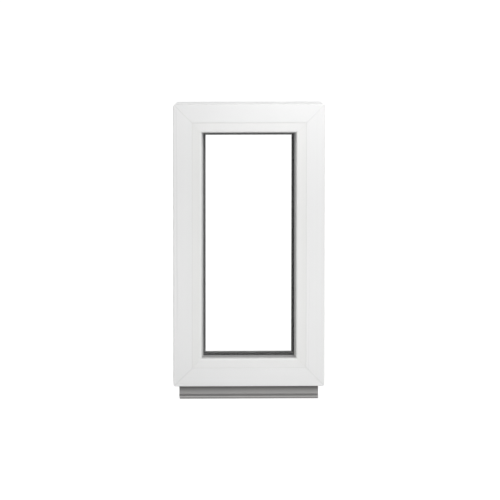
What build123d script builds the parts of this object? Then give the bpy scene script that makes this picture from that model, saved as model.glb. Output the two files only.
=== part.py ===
from build123d import *
import os

# A fixed basement window: a welded frame of white plastic profiles, a double glazed unit held by
# clip-in glazing beads and two rings of gasket, and a grey sill profile clipped under the frame.
# Millimetres. X runs across the window, Y from the room to the open air, Z up. The origin is the
# middle of the sill profile's underside.

# Overall sizes
FRAME_WIDTH = 370.0
FRAME_HEIGHT = 695.0
FRAME_DEPTH = 70.0
SILL_HEIGHT = 32.0

# Frame profile: heights are measured inwards from the outer edge of the frame
ROOM_FACE = 45.0
REBATE_DROP = 2.0
OUTER_WALL = 3.0
INNER_WALL = 2.5
WEB = 1.5
FACE_ARRIS = 1.5
SMALL_ARRIS = 1.0
MITRE_REACH = 100.0

# Outer corners: a small cut on the room face, which grows towards the open air at the head
CORNER_CUT = 3.0
HEAD_CORNER_CUT = 11.0

# Outer lip of the frame, which stops the glass on the open-air side
LIP_THICKNESS = 15.0
LIP_RISE = 6.5
SLOPE_START = 50.0
SLOPE_RUN = 8.0

# Shallow V that the corner cleaner leaves along each welded mitre
WELD_WIDTH = 3.0
WELD_DEPTH = 0.45

# Dovetail grooves in the outer edge, for wall anchors and the sill profile
GROOVE_MOUTH = 6.0
GROOVE_WIDTH = 9.0
GROOVE_DEPTH = 5.5
GROOVE_LIP = 1.5
GROOVE_CENTRE = 13.5

# Chambers across the depth of the frame profile
FIRST_CHAMBER = 6.2
SECOND_CHAMBER = 7.0
MAIN_CHAMBER = 24.0
OUTER_CHAMBER = 7.0

# Glazing bead
BEAD_FACE = 24.5
BEAD_SET_BACK = 0.6
BEAD_ROUND = 5.0
BEAD_WALL = 1.8
BEAD_MITRE_GAP = 0.15
BEAD_TOE = 2.0

# Groove in the frame that the bead's foot snaps into
BEAD_GROOVE_START = 12.0
BEAD_GROOVE_WIDTH = 6.0
BEAD_GROOVE_DEPTH = 6.0
NIB_REACH = 1.2
NIB_HEIGHT = 1.8
FOOT_THICKNESS = 2.2
SNAP_CLEARANCE = 0.3

# Gaskets
ROOM_GASKET = 2.0
ROOM_GASKET_RISE = 4.0
OUTER_GASKET = 3.0
OUTER_GASKET_RISE = 3.8
OUTER_GASKET_ARRIS = 0.8
GASKET_HEEL = 2.4
GASKET_TIP = 1.1
GASKET_SKIRT = 10.0
GASKET_FOOT_DEPTH = 3.5
GASKET_FOOT_HEIGHT = 3.0
GASKET_FOOT_DROP = 5.0
GASKET_CLEARANCE = 0.2

# Double glazed unit
PANE = 4.0
CAVITY = 16.0
EDGE_SEAL = 8.0
EDGE_SEAL_INSET = 0.4
SPACER_HEIGHT = 7.0
SPACER_CHAMFER = 2.5
PANE_ARRIS = 0.4

# Glazing blocks between the unit and the rebate floor
BLOCK_THICKNESS = 6.0
BLOCK_LENGTH = 60.0
BLOCK_FROM_CORNER = 30.0

# Drainage through the bottom rail
DRAIN_LENGTH = 28.0
DRAIN_HEIGHT = 5.0
DRAIN_LEVEL = 12.0
DRAIN_FROM_CENTRE = 75.0
REBATE_SLOT_LENGTH = 25.0
REBATE_SLOT_WIDTH = 4.0
REBATE_SLOT_FROM_CENTRE = 30.0
CAP_MARGIN = 5.0
CAP_DEPTH = 4.0
CAP_WALL = 1.4
CAP_LEG = 2.5
CAP_FILLET = 1.2
CAP_CLEARANCE = 0.2

# Sill profile under the frame
SILL_DEPTH = 44.0
SILL_END_INSET = 15.0
SILL_WALL = 2.2
SILL_FLOOR = 2.0
SILL_WEB = 1.6
SILL_ARRIS = 0.9
CHANNEL_NIB = 6.5
CHANNEL_MOUTH = 4.5
CHANNEL_RECESS = 2.5
CHANNEL_PROUD = 3.5
NIB_THICKNESS = 1.8

# Hooks that snap into the frame's grooves: a stem through the mouth and a barb behind its lips
HOOK_MOUTH_CLEARANCE = 1.2
HOOK_SIDE_CLEARANCE = 0.8
HOOK_LIP_CLEARANCE = 0.3
HOOK_ROOF_CLEARANCE = 0.5
HOOK_SLANT = 0.4
HOOK_TAPER = 2.2

# Depths, measured from the room face of the frame
LIP_WALL = FRAME_DEPTH - LIP_THICKNESS
GLASS_BACK = LIP_WALL - OUTER_GASKET
GLASS_FRONT = GLASS_BACK - CAVITY - 2 * PANE
BEAD_BACK = GLASS_FRONT - ROOM_GASKET

# Heights, measured inwards from the outer edge of the frame
REBATE_FLOOR = ROOM_FACE - REBATE_DROP
SIGHT_LINE = ROOM_FACE + BEAD_FACE
LIP_TOP = SIGHT_LINE + LIP_RISE
GLASS_EDGE = REBATE_FLOOR + BLOCK_THICKNESS

# Section plane of every bar that runs along the bottom edge: depth across, height up
SECTION = Plane(origin=(0, -FRAME_DEPTH / 2, 0), x_dir=(0, 1, 0), z_dir=(1, 0, 0))

FRAME_CENTRE = SILL_HEIGHT + FRAME_HEIGHT / 2
SIDES = {
    "bottom": (FRAME_WIDTH, Location((0, 0, SILL_HEIGHT))),
    "top": (FRAME_WIDTH, Location((0, 0, SILL_HEIGHT + FRAME_HEIGHT), (0, 180, 0))),
    "left": (FRAME_HEIGHT, Location((-FRAME_WIDTH / 2, 0, FRAME_CENTRE), (0, 90, 0))),
    "right": (FRAME_HEIGHT, Location((FRAME_WIDTH / 2, 0, FRAME_CENTRE), (0, -90, 0))),
}

# Which ends of a bar, -1 or 1 along its length, lie at the head of the window
HEAD_ENDS = {"bottom": (), "top": (-1, 1), "left": (-1,), "right": (1,)}
FRAME_NAMES = {
    "bottom": "frame_bottom_rail",
    "top": "frame_head",
    "left": "frame_left_jamb",
    "right": "frame_right_jamb",
}


def outline(*corners):
    """A closed face through corners given as (depth, height) or (depth, height, corner radius)."""
    points = [corner[:2] for corner in corners]
    radii = [corner[2] if len(corner) == 3 else 0 for corner in corners]
    return make_face(FilletPolyline(*points, radius=radii, close=True))


def slab(depth_from, depth_to, height_from, height_to, radius=0):
    """A rectangular face between two depths and two heights."""
    return outline(
        (depth_from, height_from, radius),
        (depth_to, height_from, radius),
        (depth_to, height_to, radius),
        (depth_from, height_to, radius),
    )


def mitre_blank(length, end_gap=0.0):
    """A prism that trims a bar along the bottom edge to 45 degree ends."""
    half = length / 2 - end_gap
    left = [(-half, 0), (-half + MITRE_REACH, MITRE_REACH)]
    right = [(-x, z) for x, z in reversed(left)]
    face = Plane.XZ * make_face(Polyline(*left, *right, close=True))
    return extrude(face, FRAME_DEPTH, both=True)


def bar(face, length):
    """The face extruded along the bottom edge, square at both ends."""
    return extrude(SECTION * face, length / 2, both=True)


def slope_depth(height, inset=0.0):
    """Depth of the sloping open-air face at a height, moved into the wall by the inset."""
    fall = SLOPE_RUN / (LIP_TOP - SLOPE_START)
    return FRAME_DEPTH - inset * (1 + fall**2) ** 0.5 - fall * (height - SLOPE_START)


def groove_corners(centre):
    """Corners of one dovetail groove in the outer edge, from its room side to its other side."""
    mouth, width = GROOVE_MOUTH / 2, GROOVE_WIDTH / 2
    return [
        (centre - mouth, 0),
        (centre - mouth, GROOVE_LIP),
        (centre - width, GROOVE_LIP),
        (centre - width, GROOVE_DEPTH),
        (centre + width, GROOVE_DEPTH),
        (centre + width, GROOVE_LIP),
        (centre + mouth, GROOVE_LIP),
        (centre + mouth, 0),
    ]


def frame_outline():
    """Outer contour of the frame profile, with its grooves, rebate and sloping outer lip."""
    foot_high = LIP_TOP - GASKET_FOOT_DROP
    foot_low = foot_high - GASKET_FOOT_HEIGHT
    nib = BEAD_GROOVE_START + NIB_REACH
    groove_end = BEAD_GROOVE_START + BEAD_GROOVE_WIDTH
    return outline(
        (0, 0, FACE_ARRIS),
        *groove_corners(FRAME_DEPTH / 2 - GROOVE_CENTRE),
        *groove_corners(FRAME_DEPTH / 2 + GROOVE_CENTRE),
        (FRAME_DEPTH, 0, FACE_ARRIS),
        (FRAME_DEPTH, SLOPE_START, FACE_ARRIS),
        (slope_depth(LIP_TOP), LIP_TOP, FACE_ARRIS),
        (LIP_WALL, LIP_TOP),
        (LIP_WALL, foot_high),
        (LIP_WALL + GASKET_FOOT_DEPTH, foot_high),
        (LIP_WALL + GASKET_FOOT_DEPTH, foot_low),
        (LIP_WALL, foot_low),
        (LIP_WALL, REBATE_FLOOR),
        (groove_end, REBATE_FLOOR),
        (groove_end, ROOM_FACE - BEAD_GROOVE_DEPTH),
        (BEAD_GROOVE_START, ROOM_FACE - BEAD_GROOVE_DEPTH),
        (BEAD_GROOVE_START, ROOM_FACE - NIB_HEIGHT),
        (nib, ROOM_FACE - NIB_HEIGHT),
        (nib, ROOM_FACE),
        (0, ROOM_FACE, SMALL_ARRIS),
    )


def frame_chambers():
    """Hollow chambers of the frame profile, from the room side to the open air."""
    groove_roof = GROOVE_DEPTH + WEB
    room_groove = FRAME_DEPTH / 2 - GROOVE_CENTRE - GROOVE_WIDTH / 2
    outer_groove = FRAME_DEPTH / 2 + GROOVE_CENTRE + GROOVE_WIDTH / 2
    ceiling = REBATE_FLOOR - INNER_WALL
    under_bead_groove = ROOM_FACE - BEAD_GROOVE_DEPTH - WEB
    first_end = OUTER_WALL + FIRST_CHAMBER
    second_start = first_end + WEB
    second_end = second_start + SECOND_CHAMBER
    main_start = second_end + WEB
    main_end = main_start + MAIN_CHAMBER
    drain_start = main_end + WEB
    outer_end = FRAME_DEPTH - OUTER_WALL
    outer_start = outer_end - OUTER_CHAMBER
    drain_end = outer_start - WEB
    lip_start = LIP_WALL + INNER_WALL
    lip_ceiling = LIP_TOP - GASKET_FOOT_DROP - GASKET_FOOT_HEIGHT - INNER_WALL
    lip_floor = SLOPE_START + WEB
    return [
        slab(OUTER_WALL, first_end, OUTER_WALL, ROOM_FACE - OUTER_WALL),
        outline(
            (second_start, OUTER_WALL),
            (room_groove - WEB, OUTER_WALL),
            (room_groove - WEB, groove_roof),
            (second_end, groove_roof),
            (second_end, under_bead_groove),
            (second_start, under_bead_groove),
        ),
        slab(main_start, main_end, groove_roof + WEB, ceiling, SMALL_ARRIS),
        slab(
            FRAME_DEPTH / 2 - GROOVE_CENTRE + GROOVE_WIDTH / 2 + WEB,
            FRAME_DEPTH / 2 + GROOVE_CENTRE - GROOVE_WIDTH / 2 - WEB,
            INNER_WALL,
            groove_roof,
        ),
        outline(
            (outer_groove + WEB, OUTER_WALL),
            (drain_end, OUTER_WALL),
            (drain_end, ceiling),
            (drain_start, ceiling),
            (drain_start, groove_roof),
            (outer_groove + WEB, groove_roof),
        ),
        slab(outer_start, outer_end, OUTER_WALL, SLOPE_START),
        outline(
            (lip_start, REBATE_FLOOR),
            (drain_end, REBATE_FLOOR),
            (drain_end, lip_floor),
            (slope_depth(lip_floor, OUTER_WALL), lip_floor),
            (slope_depth(lip_ceiling, OUTER_WALL), lip_ceiling),
            (lip_start, lip_ceiling),
        ),
    ]


def corner_cutter(length, end, open_air_cut, skin=0.0):
    """Block beyond the cut at one end's outer corner, or beyond a plane a skin's thickness inside it."""
    normal = Vector(end * FRAME_DEPTH, open_air_cut - CORNER_CUT, -FRAME_DEPTH).normalized()
    start = Vector(end * (length / 2 - CORNER_CUT), -FRAME_DEPTH / 2, 0) - normal * skin
    block = Box(
        2 * MITRE_REACH,
        2 * MITRE_REACH,
        MITRE_REACH / 2,
        align=(Align.CENTER, Align.CENTER, Align.MIN),
    )
    return Plane(origin=start, z_dir=normal) * block


def seam_cutter(length, end, start, stop, inward):
    """Shallow V along the mitre at one end, between two points given as (depth, height)."""
    first, last = [
        Vector(end * (length / 2 - height), depth - FRAME_DEPTH / 2, height)
        for depth, height in (start, stop)
    ]
    run = last - first
    plane = Plane(origin=first, x_dir=(1, 0, end), z_dir=run)
    vee = Polyline(
        (-WELD_WIDTH, -inward * WELD_DEPTH),
        (WELD_WIDTH, -inward * WELD_DEPTH),
        (0, inward * WELD_DEPTH),
        close=True,
    )
    return extrude(plane * make_face(vee), run.length)


def seam_cutters(length, end):
    """The weld seam at one end: across the room face, and up the open-air face and its slope."""
    beyond = LIP_TOP + GASKET_FOOT_DROP
    return [
        seam_cutter(length, end, (0, -CORNER_CUT), (0, ROOM_FACE + CORNER_CUT), 1),
        seam_cutter(length, end, (FRAME_DEPTH, -CORNER_CUT), (FRAME_DEPTH, SLOPE_START), -1),
        seam_cutter(length, end, (FRAME_DEPTH, SLOPE_START), (slope_depth(beyond), beyond), -1),
    ]


def frame_member(length, head_ends):
    """One hollow frame profile, mitred for welding, with cut corners and the cleaned seams."""
    member = bar(frame_outline(), length) & mitre_blank(length)
    hollows = [bar(chamber, length) for chamber in frame_chambers()]
    for end in (-1, 1):
        open_air_cut = HEAD_CORNER_CUT if end in head_ends else CORNER_CUT
        member -= corner_cutter(length, end, open_air_cut)
        skin = corner_cutter(length, end, open_air_cut, OUTER_WALL)
        hollows = [hollow - skin for hollow in hollows]
        member -= seam_cutters(length, end)
    return member - hollows


def drain_slots(member):
    """The bottom rail with its slots: rebate floor into the chambers, and chambers to the open air."""
    slot_depth = FRAME_DEPTH / 2 - LIP_THICKNESS - REBATE_SLOT_WIDTH / 2
    opening_start = OUTER_WALL + OUTER_CHAMBER + WEB + SMALL_ARRIS
    for side in (-1, 1):
        member -= Pos(side * REBATE_SLOT_FROM_CENTRE, slot_depth, REBATE_FLOOR - INNER_WALL / 2) * Box(
            REBATE_SLOT_LENGTH, REBATE_SLOT_WIDTH, 2 * INNER_WALL
        )
        member -= Pos(
            side * DRAIN_FROM_CENTRE, FRAME_DEPTH / 2 - opening_start / 2, DRAIN_LEVEL
        ) * Box(DRAIN_LENGTH, opening_start, DRAIN_HEIGHT)
    return member


def bead_section():
    """Glazing bead: rounded towards the glass, hollow, with a barbed foot and a toe on the rebate."""
    foot_start = BEAD_GROOVE_START + NIB_REACH + 1.0
    foot_end = foot_start + FOOT_THICKNESS
    barb_top = ROOM_FACE - NIB_HEIGHT - SNAP_CLEARANCE
    barb_tip = BEAD_GROOVE_START + SNAP_CLEARANCE
    foot_bottom = ROOM_FACE - BEAD_GROOVE_DEPTH + SNAP_CLEARANCE
    solid = outline(
        (BEAD_SET_BACK, ROOM_FACE, SMALL_ARRIS / 2),
        (foot_start, ROOM_FACE),
        (foot_start, barb_top),
        (barb_tip, barb_top),
        (barb_tip, barb_top - SNAP_CLEARANCE),
        (foot_start, foot_bottom),
        (foot_end, foot_bottom),
        (foot_end, ROOM_FACE),
        (BEAD_BACK - BEAD_TOE, ROOM_FACE),
        (BEAD_BACK - BEAD_TOE, REBATE_FLOOR),
        (BEAD_BACK, REBATE_FLOOR),
        (BEAD_BACK, SIGHT_LINE),
        (BEAD_SET_BACK, SIGHT_LINE, BEAD_ROUND),
    )
    low, high = ROOM_FACE + BEAD_WALL, SIGHT_LINE - BEAD_WALL
    start, end = BEAD_SET_BACK + BEAD_WALL, BEAD_BACK - BEAD_WALL
    middle = (start + end) / 2
    hollow = [
        outline(
            (start, low),
            (middle - BEAD_WALL / 2, low),
            (middle - BEAD_WALL / 2, high),
            (start, high, BEAD_ROUND - BEAD_WALL),
        ),
        slab(middle + BEAD_WALL / 2, end, low, high),
    ]
    return solid - hollow


def room_gasket_section():
    """Soft lip on the bead: seals on the inner pane and laps over the bead's back edge."""
    return outline(
        (BEAD_BACK, SIGHT_LINE - GASKET_SKIRT),
        (GLASS_FRONT, SIGHT_LINE - GASKET_SKIRT + ROOM_GASKET),
        (GLASS_FRONT, SIGHT_LINE + ROOM_GASKET_RISE),
        (GLASS_FRONT - GASKET_TIP, SIGHT_LINE + ROOM_GASKET_RISE, GASKET_TIP / 2),
        (BEAD_BACK - GASKET_HEEL, SIGHT_LINE),
        (BEAD_BACK, SIGHT_LINE),
    )


def outer_gasket_section():
    """Gasket on the outer lip: a foot in its groove, a face on the outer pane, a crown over the lip."""
    foot_high = LIP_TOP - GASKET_FOOT_DROP
    foot_low = foot_high - GASKET_FOOT_HEIGHT
    foot_end = LIP_WALL + GASKET_FOOT_DEPTH - GASKET_CLEARANCE
    crown_end = slope_depth(LIP_TOP) - FACE_ARRIS
    return outline(
        (GLASS_BACK, LIP_TOP - GASKET_SKIRT),
        (LIP_WALL, LIP_TOP - GASKET_SKIRT - GASKET_TIP),
        (LIP_WALL, foot_low),
        (foot_end, foot_low),
        (foot_end, foot_high),
        (LIP_WALL, foot_high),
        (LIP_WALL, LIP_TOP),
        (crown_end, LIP_TOP),
        (crown_end, LIP_TOP + OUTER_GASKET_RISE, OUTER_GASKET_ARRIS),
        (GLASS_BACK, LIP_TOP + OUTER_GASKET_RISE, OUTER_GASKET_ARRIS),
    )


def spacer_section():
    """Spacer bar between the panes, with its back corners chamfered for the sealant."""
    start, end = GLASS_FRONT + PANE, GLASS_BACK - PANE
    low = GLASS_EDGE + EDGE_SEAL
    return outline(
        (start + SPACER_CHAMFER, low),
        (end - SPACER_CHAMFER, low),
        (end, low + SPACER_CHAMFER),
        (end, low + SPACER_HEIGHT),
        (start, low + SPACER_HEIGHT),
        (start, low + SPACER_CHAMFER),
    )


def edge_seal_section():
    """Sealant that fills the edge of the unit round the back of the spacer."""
    low = GLASS_EDGE + EDGE_SEAL_INSET
    high = GLASS_EDGE + EDGE_SEAL + SPACER_CHAMFER
    return slab(GLASS_FRONT + PANE, GLASS_BACK - PANE, low, high) - spacer_section()


def pane(depth):
    """One sheet of glass, its room side at the given depth, with ground edges."""
    sheet = Box(
        FRAME_WIDTH - 2 * GLASS_EDGE,
        PANE,
        FRAME_HEIGHT - 2 * GLASS_EDGE,
        align=(Align.CENTER, Align.MIN, Align.CENTER),
    )
    sheet = chamfer(sheet.edges(), PANE_ARRIS)
    return Pos(0, depth - FRAME_DEPTH / 2, FRAME_CENTRE) * sheet


def glazing_blocks(length):
    """Two packers that carry or centre the unit on one side of the rebate."""
    face = slab(GLASS_FRONT, GLASS_BACK, REBATE_FLOOR, GLASS_EDGE)
    block = bar(face, BLOCK_LENGTH)
    reach = length / 2 - GLASS_EDGE - BLOCK_FROM_CORNER - BLOCK_LENGTH / 2
    return [Pos(side * reach, 0, 0) * block for side in (-1, 1)]


def drain_cap(side):
    """Hood over one drainage slot, open underneath, with two legs that push into the slot."""
    length = DRAIN_LENGTH + 2 * CAP_MARGIN
    height = DRAIN_HEIGHT + 2 * CAP_MARGIN
    on_face = (Align.CENTER, Align.MIN, Align.CENTER)
    hood = Box(length, CAP_DEPTH, height, align=on_face)
    hood = fillet(hood.faces().sort_by(Axis.Y)[-1].edges(), CAP_FILLET)
    hood -= Pos(0, 0, -CAP_WALL) * Box(
        length - 2 * CAP_WALL, CAP_DEPTH - CAP_WALL, height, align=on_face
    )
    leg_centre = DRAIN_LENGTH / 2 - CAP_CLEARANCE - CAP_LEG / 2
    leg_size = (CAP_LEG, OUTER_WALL + CAP_DEPTH - CAP_WALL, DRAIN_HEIGHT - 2 * CAP_CLEARANCE)
    for leg_side in (-1, 1):
        hood += Pos(leg_side * leg_centre, -OUTER_WALL, 0) * Box(*leg_size, align=on_face)
    return Pos(side * DRAIN_FROM_CENTRE, FRAME_DEPTH / 2, SILL_HEIGHT + DRAIN_LEVEL) * hood


def hook_corners(centre):
    """Arrow hook that snaps into a dovetail groove, from its open-air side to its room side."""
    stem = GROOVE_MOUTH / 2 - HOOK_MOUTH_CLEARANCE
    wide = GROOVE_WIDTH / 2 - HOOK_SIDE_CLEARANCE
    shoulder = GROOVE_LIP + HOOK_LIP_CLEARANCE
    half = [
        (stem, SILL_HEIGHT),
        (stem, SILL_HEIGHT + shoulder),
        (wide, SILL_HEIGHT + shoulder + HOOK_SLANT),
        (wide - HOOK_TAPER, SILL_HEIGHT + GROOVE_DEPTH - HOOK_ROOF_CLEARANCE),
    ]
    other = [(-depth, height) for depth, height in reversed(half)]
    return [(centre + depth, height) for depth, height in half + other]


def sill_section():
    """Sill profile: three chambers, two hooks on top, and a channel low on the room side."""
    room, open_air = -SILL_DEPTH / 2, SILL_DEPTH / 2
    channel_top = CHANNEL_NIB + CHANNEL_MOUTH
    channel_back = room + CHANNEL_RECESS
    nib = room - CHANNEL_PROUD
    solid = outline(
        (nib, 0, SILL_ARRIS),
        (open_air, 0, SILL_ARRIS),
        (open_air, SILL_HEIGHT),
        *hook_corners(GROOVE_CENTRE),
        *hook_corners(-GROOVE_CENTRE),
        (room, SILL_HEIGHT),
        (room, channel_top, SILL_ARRIS),
        (channel_back, channel_top),
        (channel_back, SILL_FLOOR),
        (nib + NIB_THICKNESS, SILL_FLOOR),
        (nib + NIB_THICKNESS, CHANNEL_NIB),
        (nib, CHANNEL_NIB, SILL_ARRIS),
    )
    ceiling = SILL_HEIGHT - SILL_FLOOR
    web = SILL_DEPTH / 6
    hollow = [
        outline(
            (channel_back + SILL_WALL, SILL_FLOOR),
            (-web - SILL_WEB / 2, SILL_FLOOR),
            (-web - SILL_WEB / 2, ceiling),
            (room + SILL_WALL, ceiling),
            (room + SILL_WALL, channel_top + SILL_WALL),
            (channel_back + SILL_WALL, channel_top + SILL_WALL),
        ),
        slab(-web + SILL_WEB / 2, web - SILL_WEB / 2, SILL_FLOOR, ceiling),
        slab(web + SILL_WEB / 2, open_air - SILL_WALL, SILL_FLOOR, ceiling),
    ]
    return solid - hollow


def sill_profile():
    """The sill profile, cut square and shorter than the frame at both ends."""
    length = FRAME_WIDTH - 2 * SILL_END_INSET
    return extrude(Plane.YZ * sill_section(), length / 2, both=True)


def frame_nodes():
    """The four welded members of the frame."""
    nodes = {}
    for side, (length, place) in SIDES.items():
        member = frame_member(length, HEAD_ENDS[side])
        if side == "bottom":
            member = drain_slots(member)
        nodes[FRAME_NAMES[side]] = place * member
    return nodes


def ring_nodes():
    """Everything that runs round the opening as four mitred lengths."""
    rings = {
        "glazing_bead": (bead_section(), BEAD_MITRE_GAP),
        "bead_gasket": (room_gasket_section(), 0.0),
        "outer_gasket": (outer_gasket_section(), 0.0),
        "spacer_bar": (spacer_section(), 0.0),
        "edge_seal": (edge_seal_section(), 0.0),
    }
    nodes = {}
    for name, (face, gap) in rings.items():
        for side, (length, place) in SIDES.items():
            piece = bar(face, length) & mitre_blank(length, end_gap=gap)
            nodes[f"{name}_{side}"] = place * piece
    return nodes


def block_nodes():
    """Glazing blocks, two on each side of the rebate."""
    nodes = {}
    for side, (length, place) in SIDES.items():
        blocks = [place * block for block in glazing_blocks(length)]
        nodes[f"glazing_blocks_{side}"] = Compound(children=blocks)
    return nodes


def single_nodes():
    """The pieces that there is one of, or a left and a right."""
    return {
        "glass_pane_room_side": pane(GLASS_FRONT),
        "glass_pane_outer": pane(GLASS_BACK - PANE),
        "drain_cap_left": drain_cap(-1),
        "drain_cap_right": drain_cap(1),
        "sill_profile": sill_profile(),
    }


def main():
    os.makedirs("parts", exist_ok=True)
    nodes = {**frame_nodes(), **ring_nodes(), **block_nodes(), **single_nodes()}
    for name, shape in nodes.items():
        export_step(shape, f"parts/{name}.step")


main()
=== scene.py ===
import math

import bpy
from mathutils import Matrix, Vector

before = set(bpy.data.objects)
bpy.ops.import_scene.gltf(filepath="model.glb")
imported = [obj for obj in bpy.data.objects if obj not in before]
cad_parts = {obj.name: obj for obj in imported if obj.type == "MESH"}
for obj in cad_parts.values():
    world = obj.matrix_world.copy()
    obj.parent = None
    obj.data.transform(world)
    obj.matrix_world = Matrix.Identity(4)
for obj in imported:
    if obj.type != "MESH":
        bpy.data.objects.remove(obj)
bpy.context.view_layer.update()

# A fixed basement window, seen from the room. All its shapes come from the CAD model: this script
# adds the camera, the light, the white surroundings and the materials. Lengths are in metres,
# angles in degrees, and the scales of noise in cycles a metre.

# The photograph's view: the camera stands far off, a little to the left and a little above
PHOTO_PIXELS = 500
SENSOR_MM = 36.0
CAMERA_AZIMUTH = -1.6
CAMERA_ELEVATION = 7.5
CAMERA_ROLL = 0.04
CAMERA_DISTANCE = 14.0
PIXELS_PER_METRE = 408.9
AIM = (0.0022, -0.035, 0.3692)

# Soft boxes close in front, which make the photograph's gradient over the white faces
SOFT_BOXES = {
    "key": {
        "power": 1.95, "size": 0.5,
        "place": (0.19, -0.46, 1.01), "target": (0.06, -0.035, 0.60),
    },
    "fill": {
        "power": 1.37, "size": 0.3,
        "place": (-0.03, -0.80, 0.15), "target": (0.0, -0.035, 0.12),
    },
    "side": {
        "power": 0.24, "size": 0.3,
        "place": (0.30, -0.50, 0.18), "target": (0.1, -0.035, 0.12),
    },
}

# Lights far off and close to level, for the faces that the photograph doesn't show
FAR_SOFTNESS = 15.0
FAR_LIGHTS = {
    "back": {"strength": 1.0, "azimuth": 164.0, "elevation": 8.0},
    "left_edge": {"strength": 0.55, "azimuth": -90.0, "elevation": 0.0},
    "right_edge": {"strength": 0.55, "azimuth": 90.0, "elevation": 0.0},
}

# The sky's strength as light, and the floor: its own grey, and the light it gives off to the eye
HORIZON_STRENGTH = 1.145
ZENITH_STRENGTH = 0.15
FLOOR_SIZE = 60.0
FLOOR_COLOUR = (0.40, 0.40, 0.40, 1.0)
FLOOR_LIFT = 0.86

# Places on the object that materials change at
HALF_WIDTH = 0.185
HALF_HEIGHT = 0.3475
MID_HEIGHT = 0.3795
BEAD_SEAM = 0.045
SEAM_WIDTH = 0.0013
WELD_WIDTH = 0.0022
WELD_CORE = 0.0004
GASKET_CROWN = 0.0773
SILL_TOP = 0.032
SILL_LIT = 0.0125
SILL_LIP = 0.0067
LIP_EDGE = 0.0055
SILL_FOOT = 0.0024
SILL_CHANNEL = 0.0212
CHANNEL_BLUR = 0.0003
BLUR = 0.0002
MICRON = 0.000001

# Colours as linear red, green and blue: a finish wanders between the two of a pair
# The upright whites are a little darker than the level ones: painted shade, for how the light falls
# on them
LEVEL_WHITE = (0.868, 0.869, 0.867), (0.89, 0.891, 0.889)
UPRIGHT_WHITE = (0.866, 0.867, 0.865), (0.888, 0.889, 0.887)
LEVEL_BEAD = (0.858, 0.858, 0.852), (0.88, 0.88, 0.873)
UPRIGHT_BEAD = (0.846, 0.846, 0.836), (0.868, 0.868, 0.856)
# A little greyer along the welded mitres: painted shade in their groove
WELD_PAINTED_SHADE = (0.832, 0.832, 0.829)
# Greyer along the beads' seam to the frame: dust there, and painted shade
SEAM_DUST_AND_SHADE = (0.73, 0.73, 0.72)
SILL_GREY = (0.355, 0.349, 0.345), (0.395, 0.389, 0.384)
# Painted shadow that darkens the sill face towards the top, under the frame's overhang
SILL_PAINTED_SHADE = (0.085, 0.083, 0.081)
# Painted shade in the channels and on all that is set in behind the sill's faces
CHANNEL_PAINTED_SHADE = (0.235, 0.231, 0.228)
# The lip: a painted highlight along its top edge, going over into painted shade below
LIP_PAINTED_HIGHLIGHT = (0.50, 0.492, 0.486)
LIP_PAINTED_SHADE = (0.25, 0.246, 0.243)
SEALANT_BLACK = (0.02, 0.02, 0.02), (0.04, 0.04, 0.04)
SPACER_METAL = (0.52, 0.53, 0.54), (0.6, 0.61, 0.62)
BLOCK_BLUE = (0.05, 0.12, 0.3), (0.07, 0.15, 0.34)

# The glass: its own colour, and how strongly it mirrors
GLASS_COLOUR = (0.995, 1.0, 0.997, 1.0)
GLASS_GLOSS = (0.3, 0.3, 0.3, 1.0)
GLASS_SPECULAR = 0.15

# Brightness of the gaskets, each side's its own as in the photograph: the bead gaskets', and the
# outer gaskets' at the heel and at the crown
GREY_SPREAD = 0.08
# The greys differ from side to side only as painted light and shade, for how the light falls on
# each side
BEAD_GASKETS = {"level": 0.32, "left": 0.56, "right": 0.45}
OUTER_GASKETS = {
    "top": (0.34, 0.46),
    "bottom": (0.21, 0.32),
    "left": (0.19, 0.36),
    "right": (0.045, 0.05),
}

# Roughness, each between a lowest and a highest
WHITE_SHEEN = (0.26, 0.36)
SILL_SHEEN = (0.3, 0.42)
RUBBER_SHEEN = (0.5, 0.72)
METAL_SHEEN = (0.3, 0.45)
MOULDED_SHEEN = (0.35, 0.5)

# How far the coordinate along a die's lines is shrunk, which draws the noise out into lines
DRAWN_STRETCH = 0.01

# The range that nearly all noise lies in
NOISE_LOW = 0.3
NOISE_HIGH = 0.7


def direction(azimuth, elevation):
    """Unit vector from the object towards a place at this azimuth and elevation."""
    a, e = math.radians(azimuth), math.radians(elevation)
    return Vector((math.sin(a) * math.cos(e), -math.cos(a) * math.cos(e), math.sin(e)))


def aim_at(thing, target):
    """Turns a lamp or camera so that it looks at the target."""
    look = Vector(target) - thing.location
    thing.rotation_euler = look.to_track_quat("-Z", "Y").to_euler()


def add_camera():
    """Camera at the photograph's viewing angle, with its framing from place and lens alone."""
    data = bpy.data.cameras.new("camera")
    data.sensor_width = SENSOR_MM
    data.lens = SENSOR_MM * PIXELS_PER_METRE * CAMERA_DISTANCE / PHOTO_PIXELS
    camera = bpy.data.objects.new("camera", data)
    bpy.context.scene.collection.objects.link(camera)
    away = direction(CAMERA_AZIMUTH, CAMERA_ELEVATION) * CAMERA_DISTANCE
    camera.location = Vector(AIM) + away
    aim_at(camera, AIM)
    camera.rotation_euler.rotate_axis("Z", math.radians(CAMERA_ROLL))
    bpy.context.scene.camera = camera


def place_lamp(name, data, place, target):
    """Sets a lamp up so that it lights the object, but isn't seen or mirrored in gloss or glass."""
    lamp = bpy.data.objects.new(name, data)
    bpy.context.scene.collection.objects.link(lamp)
    lamp.location = place
    lamp.visible_camera = False
    lamp.visible_glossy = False
    lamp.visible_transmission = False
    aim_at(lamp, target)


def add_soft_box(name, power, size, place, target):
    """A square soft box."""
    data = bpy.data.lights.new(name, "AREA")
    data.energy = power
    data.size = size
    place_lamp(name, data, place, target)


def add_far_light(name, strength, azimuth, elevation):
    """Even light from far off, which reaches only the faces that are turned to it."""
    data = bpy.data.lights.new(name, "SUN")
    data.energy = strength
    data.angle = math.radians(FAR_SOFTNESS)
    place_lamp(name, data, Vector(AIM) + direction(azimuth, elevation), AIM)


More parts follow.
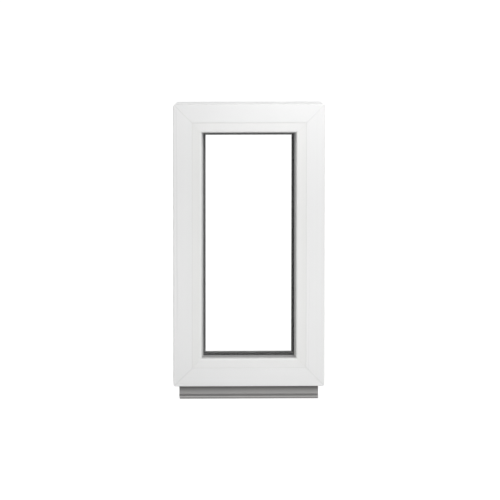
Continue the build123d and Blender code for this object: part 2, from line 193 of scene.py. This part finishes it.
def seen_directly(tree):
    """A factor of 1 for rays from the camera, also by way of glass and gloss, and else of 0."""
    path = tree.nodes.new("ShaderNodeLightPath")
    total = path.outputs["Is Camera Ray"]
    for name in ("Is Glossy Ray", "Is Transmission Ray"):
        either = tree.nodes.new("ShaderNodeMath")
        either.operation = "MAXIMUM"
        tree.links.new(total, either.inputs[0])
        tree.links.new(path.outputs[name], either.inputs[1])
        total = either.outputs[0]
    undiffused = tree.nodes.new("ShaderNodeMath")
    undiffused.operation = "LESS_THAN"
    undiffused.inputs[1].default_value = 0.5
    tree.links.new(path.outputs["Diffuse Depth"], undiffused.inputs[0])
    both = tree.nodes.new("ShaderNodeMath")
    both.operation = "MULTIPLY"
    tree.links.new(total, both.inputs[0])
    tree.links.new(undiffused.outputs[0], both.inputs[1])
    return both.outputs[0]


def add_world():
    """White to the eye. As light it is strongest from the horizon and weak from straight above."""
    world = bpy.data.worlds.new("studio")
    bpy.context.scene.world = world
    world.use_nodes = True
    tree = world.node_tree
    background = tree.nodes["Background"]
    background.inputs["Color"].default_value = (1.0, 1.0, 1.0, 1.0)
    place = tree.nodes.new("ShaderNodeTexCoord").outputs["Generated"]
    split = tree.nodes.new("ShaderNodeSeparateXYZ")
    tree.links.new(place, split.inputs[0])
    sky = tree.nodes.new("ShaderNodeMapRange")
    sky.inputs["To Min"].default_value = HORIZON_STRENGTH
    sky.inputs["To Max"].default_value = ZENITH_STRENGTH
    tree.links.new(split.outputs["Z"], sky.inputs["Value"])
    strength = tree.nodes.new("ShaderNodeMix")
    strength.inputs["B"].default_value = 1.0
    tree.links.new(sky.outputs["Result"], strength.inputs["A"])
    tree.links.new(seen_directly(tree), strength.inputs["Factor"])
    tree.links.new(strength.outputs["Result"], background.inputs["Strength"])


def floor_material():
    """A pale floor that takes light and shadow, and is lifted to white for the eye."""
    material = bpy.data.materials.new("floor_white")
    material.use_nodes = True
    tree = material.node_tree
    tree.nodes.clear()
    diffuse = tree.nodes.new("ShaderNodeBsdfDiffuse")
    diffuse.inputs["Color"].default_value = FLOOR_COLOUR
    strength = tree.nodes.new("ShaderNodeMath")
    strength.operation = "MULTIPLY"
    strength.inputs[1].default_value = FLOOR_LIFT
    tree.links.new(seen_directly(tree), strength.inputs[0])
    lift = tree.nodes.new("ShaderNodeEmission")
    tree.links.new(strength.outputs[0], lift.inputs["Strength"])
    add = tree.nodes.new("ShaderNodeAddShader")
    tree.links.new(diffuse.outputs[0], add.inputs[0])
    tree.links.new(lift.outputs[0], add.inputs[1])
    output = tree.nodes.new("ShaderNodeOutputMaterial")
    tree.links.new(add.outputs[0], output.inputs["Surface"])
    return material


def add_floor():
    """Plain white floor that keeps the object's shadow and runs into the white behind it."""
    half = FLOOR_SIZE / 2
    corners = [(-half, -half, 0), (half, -half, 0), (half, half, 0), (-half, half, 0)]
    mesh = bpy.data.meshes.new("floor")
    mesh.from_pydata(corners, [], [(0, 1, 2, 3)])
    mesh.materials.append(floor_material())
    floor = bpy.data.objects.new("floor", mesh)
    bpy.context.scene.collection.objects.link(floor)


class Finish:
    """A material under construction: a Principled shader, and short calls for what feeds it."""

    def __init__(self, name, **sockets):
        self.material = bpy.data.materials.new(name)
        self.material.use_nodes = True
        self.tree = self.material.node_tree
        self.shader = self.tree.nodes["Principled BSDF"]
        for socket, value in sockets.items():
            self.shader.inputs[socket.replace("_", " ")].default_value = value
        self.place = self.tree.nodes.new("ShaderNodeTexCoord").outputs["Object"]

    def noise(self, scale, detail=2.0, stretch=(1.0, 1.0, 1.0)):
        """Noise, drawn out along an axis where that axis's stretch is small."""
        mapping = self.tree.nodes.new("ShaderNodeMapping")
        mapping.inputs["Scale"].default_value = stretch
        self.tree.links.new(self.place, mapping.inputs["Vector"])
        texture = self.tree.nodes.new("ShaderNodeTexNoise")
        texture.inputs["Scale"].default_value = scale
        texture.inputs["Detail"].default_value = detail
        self.tree.links.new(mapping.outputs[0], texture.inputs["Vector"])
        return texture.outputs["Fac"]

    def math(self, operation, first, second=0.0):
        """One sum on one or two numbers, each a socket or a plain value."""
        node = self.tree.nodes.new("ShaderNodeMath")
        node.operation = operation
        for socket, value in zip(node.inputs, (first, second)):
            if isinstance(value, float):
                socket.default_value = value
            else:
                self.tree.links.new(value, socket)
        return node.outputs[0]

    def axis(self, name):
        """One coordinate of the point."""
        split = self.tree.nodes.new("ShaderNodeSeparateXYZ")
        self.tree.links.new(self.place, split.inputs[0])
        return split.outputs[name]

    def insets(self):
        """How far the point lies in from the frame's nearer upright edge and nearer level edge."""
        off_middle = self.math("SUBTRACT", self.axis("Z"), MID_HEIGHT)
        across = self.math("SUBTRACT", HALF_WIDTH, self.math("ABSOLUTE", self.axis("X")))
        level = self.math("SUBTRACT", HALF_HEIGHT, self.math("ABSOLUTE", off_middle))
        return across, level

    def inwards(self):
        """How far the point lies in from the frame's outer edge, on whichever side it is."""
        return self.math("MINIMUM", *self.insets())

    def off_mitre(self):
        """How far along a frame member the point lies from the mitre where two members meet."""
        return self.math("ABSOLUTE", self.math("SUBTRACT", *self.insets()))

    def ramp(self, value, start, stop):
        """A smooth factor from 0 at the start to 1 at the stop."""
        span = self.tree.nodes.new("ShaderNodeMapRange")
        span.interpolation_type = "SMOOTHSTEP"
        span.inputs["From Min"].default_value = start
        span.inputs["From Max"].default_value = stop
        self.tree.links.new(value, span.inputs["Value"])
        return span.outputs["Result"]

    def between(self, noise, low, high):
        """A number between two others, by noise."""
        span = self.tree.nodes.new("ShaderNodeMapRange")
        span.inputs["From Min"].default_value = NOISE_LOW
        span.inputs["From Max"].default_value = NOISE_HIGH
        span.inputs["To Min"].default_value = low
        span.inputs["To Max"].default_value = high
        self.tree.links.new(noise, span.inputs["Value"])
        return span.outputs["Result"]

    def blend(self, factor, low, high):
        """A colour between two others, each a socket or a plain colour, by a factor."""
        mix = self.tree.nodes.new("ShaderNodeMix")
        mix.data_type = "RGBA"
        self.tree.links.new(factor, mix.inputs["Factor"])
        for socket, colour in (("A", low), ("B", high)):
            if isinstance(colour, tuple):
                mix.inputs[socket].default_value = (*colour, 1.0)
            else:
                self.tree.links.new(colour, mix.inputs[socket])
        return mix.outputs["Result"]

    def drive(self, socket, source):
        """Feeds one of the shader's sockets."""
        self.tree.links.new(source, self.shader.inputs[socket])

    def overlay(self, factor, colour):
        """Lays another colour over the present one, by a factor."""
        present = self.shader.inputs["Base Color"].links[0].from_socket
        self.drive("Base Color", self.blend(factor, present, colour))

    def bump(self, *layers):
        """Layers of relief one on another, each a height factor and its depth."""
        normal = None
        for factor, depth in layers:
            node = self.tree.nodes.new("ShaderNodeBump")
            node.inputs["Distance"].default_value = depth
            self.tree.links.new(factor, node.inputs["Height"])
            if normal:
                self.tree.links.new(normal, node.inputs["Normal"])
            normal = node.outputs["Normal"]
        self.drive("Normal", normal)


def extruded_plastic(name, colours, along, sheen=WHITE_SHEEN):
    """Plastic drawn through a die: faint long lines along one axis, and slightly uneven gloss."""
    stretch = tuple(DRAWN_STRETCH if axis == along else 1.0 for axis in "xyz")
    finish = Finish(name, IOR=1.53)
    streaks = finish.noise(140.0, 3.0, stretch)
    clouds = finish.noise(9.0, 3.0)
    evenly = finish.math("MULTIPLY", finish.math("ADD", streaks, clouds), 0.5)
    finish.drive("Base Color", finish.blend(finish.between(evenly, 0.0, 1.0), *colours))
    gloss_lines = finish.noise(60.0, 4.0, stretch)
    finish.drive("Roughness", finish.between(gloss_lines, *sheen))
    die_lines = finish.noise(900.0, 2.0, stretch)
    waves = finish.noise(45.0, 2.0, stretch)
    grain = finish.noise(1500.0, 2.0)
    finish.bump((die_lines, 8 * MICRON), (waves, 30 * MICRON), (grain, 6 * MICRON))
    return finish


def frame_plastic(name, colours, along):
    """Extruded plastic of the frame, with painted shade along the cleaned seam of the welded
    mitres.
    """
    finish = extruded_plastic(name, colours, along)
    finish.overlay(finish.ramp(finish.off_mitre(), WELD_WIDTH, WELD_CORE), WELD_PAINTED_SHADE)
    return finish


def bead_plastic(name, colours, along):
    """Extruded plastic of the glazing beads, darker along the seam to the frame: dust there, and
    painted shade.
    """
    finish = extruded_plastic(name, colours, along)
    finish.overlay(finish.ramp(finish.inwards(), BEAD_SEAM + SEAM_WIDTH, BEAD_SEAM), SEAM_DUST_AND_SHADE)
    return finish


def sill_plastic():
    """Grey recycled plastic of the sill profile, with painted shade close under the frame, in the
    channels and on all set in behind its faces, and on its lowest strip a painted highlight along
    the lip's top edge going over into painted shade below."""
    finish = extruded_plastic("grey_plastic", SILL_GREY, "x", SILL_SHEEN)
    height = finish.axis("Z")
    # painted shadow under the frame
    finish.overlay(finish.ramp(height, SILL_LIT, SILL_TOP), SILL_PAINTED_SHADE)
    # painted highlight on the lip's edge, painted shade below it
    lip_painted_light = finish.blend(finish.ramp(height, LIP_EDGE, SILL_FOOT), LIP_PAINTED_HIGHLIGHT, LIP_PAINTED_SHADE)
    finish.overlay(finish.ramp(height, SILL_LIP + BLUR, SILL_LIP - BLUR), lip_painted_light)
    # painted shade in the channels and behind the faces
    outwards = finish.math("ABSOLUTE", finish.axis("Y"))
    inside = finish.ramp(outwards, SILL_CHANNEL + CHANNEL_BLUR, SILL_CHANNEL - CHANNEL_BLUR)
    finish.overlay(inside, CHANNEL_PAINTED_SHADE)
    return finish


def rubber(name, colours):
    """Soft gasket or sealant: matt, slightly greyed, with a fine skin."""
    finish = Finish(name, IOR=1.5)
    greying = finish.noise(120.0, 5.0)
    finish.drive("Base Color", finish.blend(greying, *colours))
    finish.drive("Roughness", finish.between(finish.noise(300.0, 3.0), *RUBBER_SHEEN))
    skin = finish.noise(2500.0, 2.0)
    finish.bump((skin, 20 * MICRON))
    return finish


def greys(level):
    """Two greys, a little under and over the level, for a finish to wander between."""
    low, high = level * (1 - GREY_SPREAD), level * (1 + GREY_SPREAD)
    return (low, low, low), (high, high, high)


def outer_gasket(name, heel_level, crown_level):
    """Dark gasket, extruded together with a greyer crown that laps over the frame's lip; the heel's
    darkness is partly dark rubber and partly painted shade.
    """
    finish = rubber(name, greys(heel_level))
    crown_colour = finish.blend(finish.noise(150.0, 4.0), *greys(crown_level))
    crown = finish.ramp(finish.inwards(), GASKET_CROWN - BLUR, GASKET_CROWN + BLUR)
    finish.overlay(crown, crown_colour)
    return finish


def clear_glass():
    """Clear float glass that lets the lamps' light through to what is behind it."""
    finish = Finish("clear_glass", Roughness=0.0, IOR=1.5, Transmission_Weight=1.0)
    finish.shader.inputs["Specular IOR Level"].default_value = GLASS_SPECULAR
    finish.shader.inputs["Base Color"].default_value = GLASS_COLOUR
    finish.shader.inputs["Specular Tint"].default_value = GLASS_GLOSS
    float_waves = finish.noise(6.0, 1.0)
    finish.bump((float_waves, 20 * MICRON))
    tree = finish.tree
    path = tree.nodes.new("ShaderNodeLightPath")
    through = tree.nodes.new("ShaderNodeBsdfTransparent")
    mix = tree.nodes.new("ShaderNodeMixShader")
    tree.links.new(path.outputs["Is Shadow Ray"], mix.inputs["Fac"])
    tree.links.new(finish.shader.outputs[0], mix.inputs[1])
    tree.links.new(through.outputs[0], mix.inputs[2])
    tree.links.new(mix.outputs[0], tree.nodes["Material Output"].inputs["Surface"])
    return finish


def mill_metal(name, colours):
    """Mill finish metal of the spacer, lightly clouded and scuffed."""
    finish = Finish(name, Metallic=1.0)
    clouds = finish.noise(80.0, 4.0)
    finish.drive("Base Color", finish.blend(clouds, *colours))
    finish.drive("Roughness", finish.between(finish.noise(200.0, 3.0), *METAL_SHEEN))
    scuffs = finish.noise(1200.0, 2.0)
    finish.bump((scuffs, 10 * MICRON))
    return finish


def moulded_plastic(name, colours):
    """Plain moulded plastic with a fine grain."""
    finish = Finish(name, IOR=1.5)
    clouds = finish.noise(50.0, 3.0)
    finish.drive("Base Color", finish.blend(clouds, *colours))
    finish.drive("Roughness", finish.between(finish.noise(120.0, 3.0), *MOULDED_SHEEN))
    grain = finish.noise(1800.0, 2.0)
    finish.bump((grain, 10 * MICRON))
    return finish


def dress(finish, *prefixes):
    """Puts a finish in every slot of the nodes whose names start with one of the prefixes."""
    for name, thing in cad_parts.items():
        if name.startswith(prefixes):
            for slot in thing.material_slots:
                slot.material = finish.material


def dress_white_parts():
    """The frame, the beads and the drain caps."""
    frame_level = frame_plastic("white_plastic_level", LEVEL_WHITE, "x")
    frame_upright = frame_plastic("white_plastic_upright", UPRIGHT_WHITE, "z")
    bead_level = bead_plastic("white_bead_level", LEVEL_BEAD, "x")
    bead_upright = bead_plastic("white_bead_upright", UPRIGHT_BEAD, "z")
    dress(frame_level, "frame_head", "frame_bottom")
    dress(frame_upright, "frame_left", "frame_right")
    dress(bead_level, "glazing_bead_top", "glazing_bead_bottom")
    dress(bead_upright, "glazing_bead_left", "glazing_bead_right")
    dress(moulded_plastic("white_cap_plastic", UPRIGHT_WHITE), "drain_cap")


def dress_gaskets():
    """The bead gaskets and the outer gaskets."""
    bead_greys = {side: greys(level) for side, level in BEAD_GASKETS.items()}
    level_gasket = rubber("grey_gasket_level", bead_greys["level"])
    dress(level_gasket, "bead_gasket_top", "bead_gasket_bottom")
    for side in ("left", "right"):
        dress(rubber(f"grey_gasket_{side}", bead_greys[side]), f"bead_gasket_{side}")
    for side, levels in OUTER_GASKETS.items():
        dress(outer_gasket(f"dark_gasket_{side}", *levels), f"outer_gasket_{side}")


def dress_rest():
    """The sill profile, the panes and what lies between and around them."""
    dress(sill_plastic(), "sill_profile")
    dress(clear_glass(), "glass_pane")
    dress(rubber("edge_sealant", SEALANT_BLACK), "edge_seal")
    dress(mill_metal("spacer_metal", SPACER_METAL), "spacer_bar")
    dress(moulded_plastic("block_plastic", BLOCK_BLUE), "glazing_blocks")


bpy.context.scene.view_settings.view_transform = "Standard"
add_camera()
add_world()
add_floor()
for lamp_name, lamp in SOFT_BOXES.items():
    add_soft_box(lamp_name, **lamp)
for lamp_name, lamp in FAR_LIGHTS.items():
    add_far_light(lamp_name, **lamp)
dress_white_parts()
dress_gaskets()
dress_rest()
